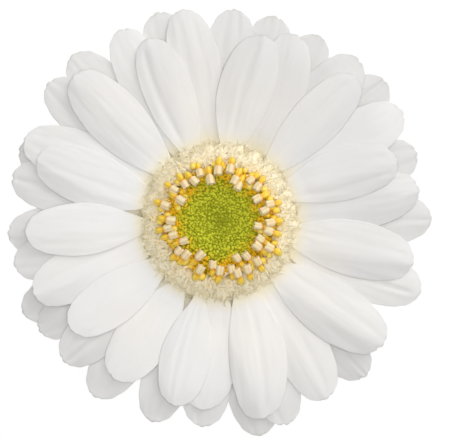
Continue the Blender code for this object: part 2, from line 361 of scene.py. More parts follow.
def jitter(tree, inputs, amount, salt):
    """A random value up to an amount, or a named input, each way, from the seed and its own salt."""
    amount = inputs.get(amount, amount)
    low = add_node(tree, MATH, (amount, -1.0), operation="MULTIPLY")
    seed = add_node(tree, MATH, (inputs["Seed"], salt), operation="ADD")
    return add_node(tree, "FunctionNodeRandomValue", {"Min": low, "Max": amount, "Seed": seed})


def jittered(tree, inputs, value, name, salt):
    """A value with the named input's jitter added to it."""
    return add_node(tree, MATH, (value, jitter(tree, inputs, name, salt)), operation="ADD")


def place_pieces(tree, inputs, points, spin, lean, scale, ripeness=1.0):
    """End a tree with its pieces on points, spun about Z after a lean.

    Each piece keeps a shade of its own, and its ripeness.
    """
    leaned, spinning = [
        add_node(tree, "FunctionNodeEulerToRotation", (add_node(tree, VECTOR, {axis: angle}),))
        for axis, angle in (("Y", lean), ("Z", spin))]
    spun = add_node(tree, "FunctionNodeRotateRotation", (leaned, spinning), rotation_space="GLOBAL")
    piece = add_node(tree, "GeometryNodeObjectInfo", {"Object": inputs["Piece"]}).outputs["Geometry"]
    placed = add_node(tree, "GeometryNodeInstanceOnPoints", {
        "Points": points, "Instance": piece, "Rotation": spun, "Scale": scale})
    for name, value in (("shade", jitter(tree, inputs, SHADE_SPREAD, 7)), ("ripeness", ripeness)):
        placed = add_node(tree, "GeometryNodeStoreNamedAttribute", {
            "Geometry": placed, "Name": name, "Value": value}, data_type="FLOAT", domain="INSTANCE")
    end_tree(tree, inputs, placed)


def spiral_tree():
    """Pieces in a sunflower spiral between two radii, on a dome that dips at its middle."""
    tree, inputs = new_tree(
        "spiral", "Inner Radius", "Outer Radius", "Foot", "Rise", "Fall", "Lean", "Lean Jitter",
        "Spin Jitter", "Place Jitter", "Size", "Rim Size", "Size Jitter", counts=("Count", "Seed"))
    index = add_node(tree, "GeometryNodeInputIndex")
    share = add_node(tree, MATH, (index, inputs["Count"]), operation="DIVIDE")
    inner, outer = [add_node(tree, MATH, (inputs[name], 2.0), operation="POWER")
                    for name in ("Inner Radius", "Outer Radius")]
    span = add_node(tree, MATH, (outer, inner), operation="SUBTRACT")
    square = add_node(tree, MATH, (share, span, inner), operation="MULTIPLY_ADD")
    even = add_node(tree, MATH, (square,), operation="SQRT")
    radius = jittered(tree, inputs, even, "Place Jitter", 1)
    angle = add_node(tree, MATH, (index, GOLDEN_ANGLE), operation="MULTIPLY")
    cosine, sine = [add_node(tree, MATH, (angle,), operation=way) for way in ("COSINE", "SINE")]
    x, y = [add_node(tree, MATH, (share, radius), operation="MULTIPLY") for share in (cosine, sine)]
    ripe = add_node(tree, MATH, (radius, inputs["Outer Radius"]), operation="DIVIDE")
    ripe_square, ripe_cube, ripe_fourth = [
        add_node(tree, MATH, (ripe, power), operation="POWER") for power in (2.0, 3.0, 4.0)]
    raised = add_node(tree, MATH, (ripe_square, inputs["Rise"], inputs["Foot"]), operation="MULTIPLY_ADD")
    fallen = add_node(tree, MATH, (ripe_fourth, inputs["Fall"]), operation="MULTIPLY")
    z = add_node(tree, MATH, (raised, fallen), operation="SUBTRACT")
    place = add_node(tree, VECTOR, {"X": x, "Y": y, "Z": z})
    points = add_node(tree, "GeometryNodePoints", {"Count": inputs["Count"], "Position": place})
    lean = add_node(tree, MATH, (ripe_cube, inputs["Lean"]), operation="MULTIPLY")
    growth = add_node(tree, MATH, (inputs["Rim Size"], inputs["Size"]), operation="SUBTRACT")
    grown = add_node(tree, MATH, (ripe_cube, growth, inputs["Size"]), operation="MULTIPLY_ADD")
    place_pieces(
        tree, inputs, points, jittered(tree, inputs, angle, "Spin Jitter", 3),
        jittered(tree, inputs, lean, "Lean Jitter", 2), jittered(tree, inputs, grown, "Size Jitter", 4), ripe)
    return tree


def seats_tree():
    """Pieces on the points of a mesh, turned to face outward from the flower's axis."""
    tree, inputs = new_tree("seats", "Lean Jitter", "Spin Jitter", "Size", "Size Jitter")
    place = add_node(tree, "ShaderNodeSeparateXYZ", (add_node(tree, "GeometryNodeInputPosition"),))
    angle = add_node(tree, MATH, (place.outputs[1], place.outputs[0]), operation="ARCTAN2")
    points = add_node(tree, "GeometryNodeMeshToPoints", {"Mesh": inputs["Geometry"]})
    place_pieces(
        tree, inputs, points, jittered(tree, inputs, angle, "Spin Jitter", 1),
        jitter(tree, inputs, "Lean Jitter", 2), jittered(tree, inputs, inputs["Size"], "Size Jitter", 3))
    return tree


def ring_tree():
    """Pieces that are modelled in place, turned in even steps about the flower's axis."""
    tree, inputs = new_tree("ring", "Phase", "Spin Jitter", "Size Jitter", counts=("Count", "Seed"))
    points = add_node(tree, "GeometryNodePoints", {"Count": inputs["Count"]})
    index = add_node(tree, "GeometryNodeInputIndex")
    share = add_node(tree, MATH, (index, inputs["Count"]), operation="DIVIDE")
    even = add_node(tree, MATH, (share, FULL_TURN, inputs["Phase"]), operation="MULTIPLY_ADD")
    place_pieces(
        tree, inputs, points, jittered(tree, inputs, even, "Spin Jitter", 1), 0.0,
        jittered(tree, inputs, 1.0, "Size Jitter", 2))
    return tree


def hair_tree():
    """Fine hairs spread over a mesh, standing up from it at random leans."""
    tree, inputs = new_tree("hairs", "Density", "Length", "Lean Jitter")
    spread = add_node(tree, "GeometryNodeDistributePointsOnFaces", {
        "Mesh": inputs["Geometry"], "Density": inputs["Density"], "Seed": inputs["Seed"]})
    lean = add_node(tree, VECTOR, {
        "X": jitter(tree, inputs, "Lean Jitter", 1), "Y": jitter(tree, inputs, "Lean Jitter", 2)})
    leaned = add_node(tree, "FunctionNodeEulerToRotation", (lean,))
    upright = spread.outputs["Rotation"]
    turned = add_node(tree, "FunctionNodeRotateRotation", (upright, leaned), rotation_space="LOCAL")
    short = add_node(tree, MATH, (inputs["Length"], 0.5), operation="MULTIPLY")
    length = add_node(tree, "FunctionNodeRandomValue", {
        "Min": short, "Max": inputs["Length"], "Seed": inputs["Seed"]})
    piece = add_node(tree, "GeometryNodeObjectInfo", {"Object": inputs["Piece"]}).outputs["Geometry"]
    placed = add_node(tree, "GeometryNodeInstanceOnPoints", {
        "Points": spread.outputs["Points"], "Instance": piece, "Rotation": turned, "Scale": length})
    end_tree(tree, inputs, placed)
    return tree


def grow(tree, ground, material, bloom_mesh, **values):
    """Run a tree on a mesh with a small bloom as its piece, and return the plain mesh it makes."""
    bloom = bpy.data.objects.new("bloom", bloom_mesh)
    carrier = bpy.data.objects.new("carrier", ground)
    for item in (bloom, carrier):
        bpy.context.scene.collection.objects.link(item)
    modifier = carrier.modifiers.new("grow", "NODES")
    modifier.node_group = tree
    wanted = {"Piece": bloom, "Material": material}
    for name, value in values.items():
        wanted[name.replace("_", " ").title()] = value
    for item in tree.interface.items_tree:
        if item.in_out == "INPUT" and item.name in wanted:
            modifier[item.identifier] = wanted[item.name]
    bpy.context.view_layer.update()
    graph = bpy.context.evaluated_depsgraph_get()
    mesh = bpy.data.meshes.new_from_object(carrier.evaluated_get(graph))
    for item in (bloom, carrier):
        bpy.data.objects.remove(item)
    mesh.shade_smooth()
    return mesh


# ---------------------------------------------------------------- materials


def petal_material(settings):
    """Gerbera ray petal: a thin white leaf with a waxy, faintly velvety skin.

    Air between its cells makes it white. It scatters light inside, and runs of long cells
    give it fine lines from claw to tip.
    """
    material, tree, shader = new_material("ray_petal_skin")
    across, along, sideways, tone, age, relief = point_values(
        tree, "across", "along", "sideways", "tone", "age", "relief")
    # The veins lie about 0.6 mm apart and the soft ridges between them about 2.5 mm.
    flat = add_node(tree, VECTOR, (sideways, along, tone))
    grains = []
    for spread, detail, roughness in (((1.6 / MM, 1.8, 37.0), 3.0, 0.6), ((0.4 / MM, 2.6, 61.0), 1.0, 0.5)):
        place = add_node(tree, "ShaderNodeVectorMath", (flat, spread), operation="MULTIPLY")
        grains.append(add_node(tree, NOISE, {
            "Vector": place, "Scale": 1.0, "Detail": detail, "Roughness": roughness}))
    lines, ridges = grains
    # Patches of about 25 mm, where the skin lies on more or fewer air spaces.
    place = add_node(tree, "ShaderNodeTexCoord").outputs["Object"]
    patches = add_node(tree, NOISE, {"Vector": place, "Scale": 40.0, "Detail": 1.0})
    warmth = add_node(tree, MATH, (tone, 0.12, patches), operation="MULTIPLY_ADD")
    body = add_node(tree, RAMP, {"Fac": warmth}, stops=((0.4, settings.cool), (0.7, settings.warm)))
    tip_share = add_node(tree, RANGE, {"Value": along, "From Min": 0.4, "From Max": 1.0})
    line_share = add_node(tree, RANGE, {
        "Value": lines, "From Min": 0.48, "From Max": 0.78, "To Max": 0.18})
    # The claw, which reaches further out on a lower petal; there it is painted browner and greyer, a painted
    # shade of the gaps near the fringe.
    claw_end = add_node(tree, MATH, (age, 0.2, 0.22), operation="MULTIPLY_ADD")
    claw_share = add_node(tree, RANGE, {
        "Value": along, "From Min": 0.06, "From Max": claw_end, "To Min": 1.0, "To Max": 0.0},
        interpolation_type="SMOOTHSTEP")
    claw = paint_over(tree, rgba(settings.base), (age, rgba(settings.lower_claw_shade)))
    # The darker rim, which shows most round the tip and on a lower petal: partly the thin edge's own greyer
    # colour, partly painted shade of edges turning from the light.
    side = add_node(tree, MATH, (across,), operation="ABSOLUTE")
    outer = add_node(tree, RANGE, {"Value": along, "From Min": 0.7, "From Max": 0.9, "To Max": 0.5})
    rim_side = add_node(tree, RANGE, {"Value": side, "From Min": 0.95, "To Max": outer})
    rim_tip = add_node(tree, RANGE, {"Value": along, "From Min": 0.98, "To Max": 0.5})
    rim_most = add_node(tree, MATH, (rim_side, rim_tip), operation="MAXIMUM")
    rim_row_shade = add_node(tree, MATH, (age, 0.6, 0.4), operation="MULTIPLY_ADD")
    rim_share = add_node(tree, MATH, (rim_most, rim_row_shade), operation="MULTIPLY")
    # Painted shade: the lower a petal lies, the more it is laid over with a greyer white, standing in for the
    # shade under the petals above; its claw and rim darken the same way.
    skin = paint_over(
        tree, body, (tip_share, rgba(settings.tip)), (line_share, rgba(settings.vein)),
        (age, rgba(settings.lower_row_shade)), (claw_share, claw), (rim_share, rgba(settings.rim)))
    # The folded sides, in metres, under the finer ridges and lines.
    folded = add_node(tree, BUMP, {"Height": relief, "Strength": 1.0, "Distance": 1.0})
    height = add_node(tree, MATH, (lines, 0.03, ridges), operation="MULTIPLY_ADD")
    bump = add_node(tree, BUMP, {
        "Height": height, "Strength": 0.45, "Distance": 0.6 * MM, "Normal": folded})
    set_inputs(tree, shader, {
        "Base Color": skin, "Normal": bump, "Roughness": 0.55, "IOR": 1.4, "Specular IOR Level": 0.3,
        "Subsurface Weight": 0.5, "Subsurface Radius": (1.0, 0.97, 0.92), "Subsurface Scale": 0.4 * MM})
    return material


def bud_material(settings):
    """Closed disc buds: small waxy green knobs that turn gold as they ripen."""
    material, tree, shader = new_material("disc_bud_skin")
    along, shade, ripeness = point_values(tree, "along", "shade", "ripeness")
    uneven = add_node(tree, MATH, (shade, 0.2, ripeness), operation="MULTIPLY_ADD")
    tips = add_node(tree, RAMP, {"Fac": uneven}, stops=(
        (0.05, settings.bud_young), (0.3, settings.bud_green),
        (0.6, settings.bud_green), (0.82, settings.bud_gold)))
    # Painted shade: each bud is darker towards its foot, where shade falls between the buds.
    height = add_node(tree, MATH, (shade, 0.5, along), operation="MULTIPLY_ADD")
    lit = add_node(tree, RANGE, {"Value": height, "From Min": 0.45})
    set_inputs(tree, shader, {
        "Base Color": paint_over(tree, rgba(settings.bud_shade_green), (lit, tips)),
        "Roughness": 0.6, "Specular IOR Level": 0.15})
    return material


def knob_material(settings):
    """Ripe disc buds: yellow with pollen that shows through, deeper orange low down."""
    material, tree, shader = new_material("ripe_bud_skin")
    along, shade = point_values(tree, "along", "shade")
    uneven = add_node(tree, MATH, (shade, 0.4, along), operation="MULTIPLY_ADD")
    body = add_node(tree, RAMP, {"Fac": uneven}, stops=(
        (0.45, linear("#ECB428")), (0.8, settings.pollen), (1.0, linear("#FFE674"))))
    set_inputs(tree, shader, {
        "Base Color": body, "Roughness": 0.5, "Subsurface Weight": 0.2,
        "Subsurface Radius": (1.0, 0.6, 0.2), "Subsurface Scale": 0.5 * MM})
    return material


def anther_material(settings):
    """Anther tubes: five fused anthers, orange with pollen below and cream at their dry tips."""
    material, tree, shader = new_material("anther_tube")
    along, seam, shade = point_values(tree, "along", "seam", "shade")
    uneven = add_node(tree, MATH, (shade, 0.06, along), operation="MULTIPLY_ADD")
    body = add_node(tree, RAMP, {"Fac": uneven}, stops=(
        (0.2, linear("#F3E3A4")), (0.4, linear("#FFE066")), (0.56, settings.pollen),
        (0.66, linear("#F0B62A")), (0.72, settings.cream)))
    striped = add_node(tree, RANGE, {"Value": seam, "From Min": 0.5, "From Max": 0.95})
    lined = add_node(tree, MIX, {
        "Factor": striped, "A": body, "B": rgba(settings.stripe)}, data_type="RGBA", blend_type="MULTIPLY")
    # Pollen grains are far too fine to show, so they are drawn as clumps of about 0.5 mm.
    place = add_node(tree, "ShaderNodeTexCoord").outputs["Object"]
    grains = add_node(tree, NOISE, {"Vector": place, "Scale": 1800.0, "Detail": 1.0})
    bump = add_node(tree, BUMP, {"Height": grains, "Strength": 0.3, "Distance": 0.1 * MM})
    set_inputs(tree, shader, {
        "Base Color": lined, "Normal": bump, "Roughness": 0.55, "Subsurface Weight": 0.5,
        "Subsurface Radius": (1.0, 0.7, 0.4), "Subsurface Scale": 0.3 * MM})
    return material


def fringe_material(name, pale, dark):
    """Pappus bristles or floret lips: dry, papery and ivory, darker towards their feet; on the bristles that
    is painted shade, on the lips the golden colour of their feet.
    """
    material, tree, shader = new_material(name)
    along, shade = point_values(tree, "along", "shade")
    uneven = add_node(tree, MATH, (shade, 0.35, along), operation="MULTIPLY_ADD")
    set_inputs(tree, shader, {
        "Base Color": add_node(tree, RAMP, {"Fac": uneven}, stops=((0.15, dark), (0.7, pale))),
        "Roughness": 0.7, "Subsurface Weight": 0.1, "Subsurface Radius": (1.0, 0.85, 0.6),
        "Subsurface Scale": 0.4 * MM})
    return material


def felt_material(settings):
    """Pappus felt: fine ivory bristles packed so close that they read as one fleecy mass."""
    material, tree, shader = new_material("pappus_felt")
    # Clumps of about 1 mm, and in them single bristles, drawn about 0.3 mm wide to show.
    place = add_node(tree, "ShaderNodeTexCoord").outputs["Object"]
    clumps = add_node(tree, NOISE, {"Vector": place, "Scale": 900.0, "Detail": 1.0})
    bristles = add_node(tree, NOISE, {"Vector": place, "Scale": 3000.0, "Detail": 2.0})
    fine = add_node(tree, MATH, (bristles, 0.4), operation="MULTIPLY")
    mottle = add_node(tree, MATH, (clumps, 0.6, fine), operation="MULTIPLY_ADD")
    # The colour follows the same mottle as the bump: its hollows are painted darker, a painted shade, and its
    # tops take the pale bristle colour.
    body = add_node(tree, RAMP, {"Fac": mottle}, stops=(
        (0.3, settings.gap), (0.37, settings.shade), (0.46, settings.felt), (0.6, settings.bristle)))
    bump = add_node(tree, BUMP, {"Height": mottle, "Strength": 0.6, "Distance": 0.4 * MM})
    set_inputs(tree, shader, {
        "Base Color": body, "Normal": bump, "Roughness": 0.8, "Specular IOR Level": 0.2})
    return material


def leaf_material(name, body, tip=None):
    """Bract or stalk skin: matt green, blotched between its veins, browner where it dries."""
    material, tree, shader = new_material(name)
    (along,) = point_values(tree, "along")
    # Blotches of about 1.5 mm, as between the veins of a small leaf.
    place = add_node(tree, "ShaderNodeTexCoord").outputs["Object"]
    blotches = add_node(tree, NOISE, {"Vector": place, "Scale": 650.0, "Detail": 3.0})
    dried = add_node(tree, RANGE, {"Value": along, "From Min": 0.8, "To Max": 0.8})
    dark = [part * 0.7 for part in body]
    pale = [min(part * 1.35, 1.0) for part in body]
    skin = paint_over(tree, rgba(dark), (blotches, rgba(pale)), (dried, rgba(tip or body)))
    bump = add_node(tree, BUMP, {"Height": blotches, "Strength": 0.3, "Distance": 0.1 * MM})
    set_inputs(tree, shader, {
        "Base Color": skin, "Normal": bump, "Roughness": 0.6, "Specular IOR Level": 0.3})
    return material


def floor_material(settings):
    """Matt white paper sweep: it shows white to the camera and keeps a faint shadow."""
    material, tree, shader = new_material("paper_sweep")
    set_inputs(tree, shader, {
        "Base Color": rgba(settings.floor), "Roughness": 0.9, "Specular IOR Level": 0.0})
    share = add_node(tree, MATH, (seen_directly(tree), 0.94), operation="MULTIPLY")
    white = add_node(tree, "ShaderNodeEmission", {"Color": (1.0, 1.0, 1.0, 1.0), "Strength": 1.03})
    mixed = add_node(tree, "ShaderNodeMixShader", (share, shader, white))
    set_inputs(tree, tree.nodes["Material Output"], {"Surface": mixed})
    return material


# ---------------------------------------------------------------- ray petals

# Shares of a solid ray's length at which its cross-sections stand, and how near one its corners lie.
RAY_STATIONS = (0.0, 0.17, 0.36, 0.56, 0.76, 0.91, 1.0)
STATION_REACH = 0.04
# The petals lie closer to the middle of their pile than their solids, which stand apart to be clear.
PILE_MIDDLE = 16.9 * MM
PILE_PULL = 0.62
PULL_START = 9.0 * MM
PULL_END = 23.0 * MM
PULL_RISE = 1.8 * MM
# How steeply the whole pile rises outward, and from which radius.
OUTWARD_RISE = 0.075
RISE_START = 22.0 * MM
# A tip is half an ellipse: near its end the petal widens a little, and its sides draw back.
TIP_START = 0.9
TIP_FULLNESS = 0.32
TIP_ROUNDING = 1.15 * MM
ROUNDING_POWER = 12
# The small teeth of a tip, as shares of the petal's half width and of its length.
TOOTH_WIDTH = 0.16
TEETH_START = 0.93
# How much closer the faces lie to one another at the tip and at the sides.
ROW_CROWDING = 0.35
COLUMN_CROWDING = 0.3
# How softly a side bends at its fold and at its crease, in shares of the half width.
FOLD_SOFTNESS = 0.1
CREASE_SOFTNESS = 0.06
# How much of a petal's camber is a fold and not round, and how much of its solid's camber it takes.
FOLD_SHARE = 0.6
CAMBER_SHARE = 0.8
# Where a petal starts to nod, and the share of its drawn nod that it takes.
NOD_START = 0.7
NOD_SHARE = 0.6
# Each row from the lowest up: the number of its last petal, how far it is aged and darkened by
# painted shade, and how deep its grooves are and how far its tips nod.
LAST_OF_ROW = (11, 23, 33, 46)
ROW_AGE_AND_SHADE = (1.0, 0.7, 0.15, 0.0)
ROW_GROOVES = (1.7, 1.7, 1.5, 1.2)
ROW_NODS = (1.9 * MM, 1.6 * MM, 1.1 * MM, 0.6 * MM)
# Each petal draws its habit at random from this seed plus its own number.
HABIT_SEED = 1000
# Petals with a form of their own. A groove or tooth gives its place across the petal and its depth, and
# a groove its width too. A side gives its crease, how steeply it falls past it and how the crease drifts.
# A petal's own age sets how much painted shade darkens its skin, so that it stands apart from its neighbours.
SPECIAL_HABITS = {
    1: {"teeth": [(0.1, 0.4 * MM)], "grooves": [(0.1, 0.35 * MM, 0.12)]},
    2: {"grooves": [(0.0, 0.3 * MM, 0.1)], "sides": {-1: (0.0, 0.22, 0.0), 1: (0.5, 0.05, 0.0)}},
    7: {"grooves": [(0.3, 0.1 * MM, 0.15)], "age": 0.6},
    8: {"grooves": [(0.3, 0.12 * MM, 0.12), (-0.2, 0.1 * MM, 0.12)], "age": 0.6},
    12: {"sides": {-1: (0.1, 0.08, 0.0), 1: (0.0, 0.16, 0.0)}},
    14: {"sides": {-1: (0.3, 0.08, 0.0), 1: (0.2, 0.2, 0.0)}},
    17: {"grooves": [(0.3, 0.2 * MM, 0.15), (-0.3, 0.2 * MM, 0.15)]},
    19: {"teeth": [(0.1, 0.5 * MM)], "grooves": [(0.1, 0.35 * MM, 0.12)]},
    20: {"grooves": [(-0.1, 0.2 * MM, 0.13)], "sides": {-1: (0.3, 0.15, -0.2), 1: (0.5, 0.05, 0.0)}},
    21: {"teeth": [(-0.3, 0.4 * MM)], "grooves": [(-0.3, 0.12 * MM, 0.15)]},
    23: {"sides": {-1: (0.4, 0.05, 0.0), 1: (0.1, 0.28, -0.4)}},
    25: {"sides": {-1: (0.3, 0.18, -0.3), 1: (0.5, 0.05, 0.0)}, "grooves": [(0.2, 0.12 * MM, 0.15)]},
    27: {"grooves": [(-0.2, 0.4 * MM, 0.1)], "sides": {-1: (0.0, 0.14, 0.0), 1: (0.6, 0.08, 0.0)}},
    29: {"sides": {-1: (0.1, 0.25, 0.0), 1: (0.5, 0.05, 0.0)}, "grooves": [(-0.05, 0.12 * MM, 0.12)]},
    31: {"nod": 2.6 * MM},
    32: {"age": 0.0, "grooves": [(-0.3, 0.1 * MM, 0.15)], "nod": 0.3 * MM,
         "sides": {-1: (0.6, 0.05, 0.0), 1: (0.4, 0.26, -0.5)}},
    33: {"age": 0.35, "nod": 1.4 * MM, "sides": {-1: (0.4, 0.08, 0.0), 1: (0.0, 0.14, 0.0)}},
    34: {"camber": 0.9, "grooves": [(0.0, 0.14 * MM, 0.15), (-0.5, 0.12 * MM, 0.15)], "nod": 0.5 * MM},
    35: {"camber": 1.2, "grooves": [(0.12, 0.14 * MM, 0.12)], "nod": 1.6 * MM,
         "sides": {-1: (0.7, 0.26, -1.2), 1: (0.5, 0.08, 0.0)}},
    36: {"camber": 1.2, "grooves": [(0.42, 0.3 * MM, 0.15)], "nod": 0.3 * MM,
         "sides": {-1: (0.6, 0.05, 0.0), 1: (-0.1, 0.1, 0.0)}},
    37: {"camber": 0.9, "grooves": [(0.22, 0.16 * MM, 0.12)], "nod": 0.4 * MM,
         "sides": {-1: (0.6, 0.05, 0.0), 1: (0.1, 0.2, 0.2)}},
    38: {"camber": 1.0, "grooves": [(0.05, 0.1 * MM, 0.14)], "nod": 0.3 * MM,
         "sides": {-1: (0.6, 0.05, 0.0), 1: (0.4, 0.24, -0.5)}},
    39: {"camber": 1.15, "grooves": [(0.3, 0.1 * MM, 0.13)], "nod": 0.9 * MM,
         "teeth": [(-0.45, 0.5 * MM), (0.3, 0.3 * MM)],
         "sides": {-1: (0.25, 0.28, -0.4), 1: (0.6, 0.05, 0.0)}},
    40: {"camber": 1.2, "grooves": [(0.3, 0.1 * MM, 0.12)], "nod": 0.5 * MM,
         "teeth": [(-0.5, 0.4 * MM), (0.2, 0.2 * MM)],
         "sides": {-1: (0.3, 0.24, -0.3), 1: (0.7, 0.05, 0.0)}},
    41: {"camber": 1.0, "grooves": [(-0.35, 0.2 * MM, 0.08), (0.1, 0.1 * MM, 0.12)],
         "nod": 1.2 * MM, "sides": {-1: (0.4, 0.16, -0.2), 1: (0.5, 0.05, 0.0)}},
    42: {"camber": 0.7, "grooves": [(0.1, 0.05 * MM, 0.15)], "nod": 0.2 * MM,
         "sides": {-1: (0.6, 0.06, 0.0), 1: (0.5, 0.05, 0.0)}},
    43: {"camber": 0.9, "grooves": [(0.3, 0.08 * MM, 0.14), (-0.5, 0.16 * MM, 0.14)], "nod": 0.2 * MM,
         "sides": {-1: (0.2, 0.2, 0.3), 1: (0.6, 0.06, 0.0)}},
    44: {"age": 0.05, "camber": 0.8, "grooves": [(0.2, 0.22 * MM, 0.15)], "nod": 0.3 * MM,
         "sides": {-1: (0.3, 0.2, -0.2), 1: (0.5, 0.08, 0.0)}},
    45: {"age": 0.1, "camber": 0.9, "grooves": [(0.1, 0.2 * MM, 0.1)], "nod": 0.2 * MM,
         "sides": {-1: (0.7, 0.06, 0.0), 1: (-0.2, 0.17, 0.0)}},
    46: {"camber": 0.9, "grooves": [(0.5, 0.12 * MM, 0.15)], "nod": 0.4 * MM, "width": 1.12,
         "sides": {-1: (0.6, 0.05, 0.0), 1: (0.4, 0.13, -0.2)}},
}


def read_ray(node):
    """Where a solid ray floret runs, and its half width, height and camber at each station."""
    corners = {tuple(round(part, 7) for part in vertex.co) for vertex in node.data.vertices}
    corners = [Vector(corner) for corner in corners]

    def reach(corner):
        return math.hypot(corner.x, corner.y)

    root, tip = min(corners, key=reach), max(corners, key=reach)
    start, end = reach(root), reach(tip)
    angle = math.atan2(root.y, root.x)
    turn = (math.atan2(tip.y, tip.x) - angle + math.pi) % FULL_TURN - math.pi
    placed = []
    # The heading turns along the ray, so a corner's share of the length and its heading are found in turns.
    for corner in corners:
        along = 0.5
        for _ in range(5):
            heading = angle + turn * along
            forward = corner.x * math.cos(heading) + corner.y * math.sin(heading)
            along = (forward - start) / (end - start)
        side = corner.y * math.cos(heading) - corner.x * math.sin(heading)
        placed.append((along, side, corner.z))
    # At each station the middle's corners give the height, and the edges' how far it falls.
    halves, heights, cambers = [], [], []
    for station in RAY_STATIONS:
        near = [item for item in placed if abs(item[0] - station) < STATION_REACH]
        half = max(abs(side) for _, side, _ in near)
        height = max(z for _, side, z in near if abs(side) < 0.25 * half)
        edge = max(z for _, side, z in near if abs(side) > 0.9 * half)
        halves.append(half)
        heights.append(height)
        cambers.append(height - edge)
    return {
        "start": start, "end": end, "angle": angle, "turn": turn,
        "half": smooth_curve(RAY_STATIONS, halves),
        "height": smooth_curve(RAY_STATIONS, heights),
        "camber": smooth_curve(RAY_STATIONS, cambers),
    }


def petal_habit(number, settings):
    """What makes one petal its own, with lengths in metres and places in shares of its half width.

    A fold has its crease and strength, and a ripple or the sway its height, waves and phase.
    """
    draw = random.Random(HABIT_SEED + number)
    row = next(index for index, last in enumerate(LAST_OF_ROW) if number <= last)
    depth = settings.groove * ROW_GROOVES[row]
    habit = {
        "camber": draw.uniform(0.45, 0.8),
        "grooves": [
            (place + draw.uniform(-0.1, 0.1), depth * draw.uniform(0.4, 1.2), draw.uniform(0.13, 0.19))
            for place in (-0.35, 0.3)],
        "folds": {side: (draw.uniform(0.25, 0.5), draw.uniform(0.8, 1.3)) for side in (-1, 1)},
        "ripples": {
            side: (settings.ripple * draw.uniform(0.3, 1.2), draw.uniform(1.2, 2.4), draw.uniform(0.0, 6.3))
            for side in (-1, 1)},
        "sway": (settings.sway * draw.uniform(0.3, 1.0), draw.uniform(1.0, 1.8), draw.uniform(0.0, 6.3)),
        "teeth": [(place + draw.uniform(-0.1, 0.1), settings.notch * draw.uniform(0.2, 0.8))
                  for place in (-0.38, 0.34)],
        "sides": {side: (draw.uniform(0.3, 0.6), draw.uniform(0.02, 0.1), draw.uniform(-0.3, 0.1))
                  for side in (-1, 1)},
        "nod": ROW_NODS[row] * draw.uniform(0.7, 1.0),
        "tone": draw.random(),
        "age": ROW_AGE_AND_SHADE[row],
        "width": 1.0,
    }
    habit.update(SPECIAL_HABITS.get(number, {}))
    return habit


def soft_bend(value, softness):
    """0 below 0, the value itself above 0, and a soft bend between them."""
    return softness * math.log1p(math.exp(value / softness))


def bent_side(share, crease):
    """How far a petal's side has fallen at a share of its width: flat, then down past a crease."""
    fall, flat, full = (soft_bend(place - crease, FOLD_SOFTNESS) for place in (share, 0.0, 1.0))
    return (fall - flat) / (full - flat)


def side_relief(across, along, half, habit):
    """How far the sides have folded down past creases that drift from claw to tip."""
    fallen = 0.0
    for side, (crease, slope, drift) in habit["sides"].items():
        place = crease + drift * (along - 0.5)
        fallen += slope * half * soft_bend(side * across - place, CREASE_SOFTNESS)
    return -fallen * ease(0.08, 0.35, along)


def petal_relief(across, along, camber, habit):
    """How far the petal's face stands above the middle line of its solid."""
    side = 1 if across > 0.0 else -1
    share = abs(across)
    camber *= CAMBER_SHARE * habit["camber"]
    crease, strength = habit["folds"][side]
    formed = ease(0.12, 0.4, along)
    round_fall = across * across
    folded = bent_side(share, crease) * strength
    fall = camber * (round_fall + formed * FOLD_SHARE * (folded - round_fall))
    # The grooves start past the claw and fade out before the tip, later on an old petal.
    fade = 0.86 + 0.1 * habit["age"]
    grooved = ease(0.1, 0.3, along) * (1.0 - ease(fade, fade + 0.1, along))
    dip = sum(depth * bell(across, place, width) for place, depth, width in habit["grooves"])
    height, waves, phase = habit["ripples"][side]
    ripple = height * share ** 3 * math.sin(FULL_TURN * waves * along + phase) * ease(0.2, 0.5, along)
    nod = NOD_SHARE * habit["nod"] * ease(NOD_START, 1.02, along) ** 2
    lift, turns, start = habit["sway"]
    sway = lift * math.sin(FULL_TURN * turns * along + start) * ease(0.15, 0.45, along)
    return ripple + sway - fall - dip * grooved - nod


def settled_height(radius, height):
    """The height of a petal drawn towards the middle of the pile."""
    share = min((radius - PULL_START) / (PULL_END - PULL_START), 1.0)
    middle = PILE_MIDDLE + PULL_RISE * ease(0.0, 1.6, share)
    lift = OUTWARD_RISE * max(radius - RISE_START, 0.0)
    return height + (middle - height) * PILE_PULL * ease(0.0, 1.0, share) + lift


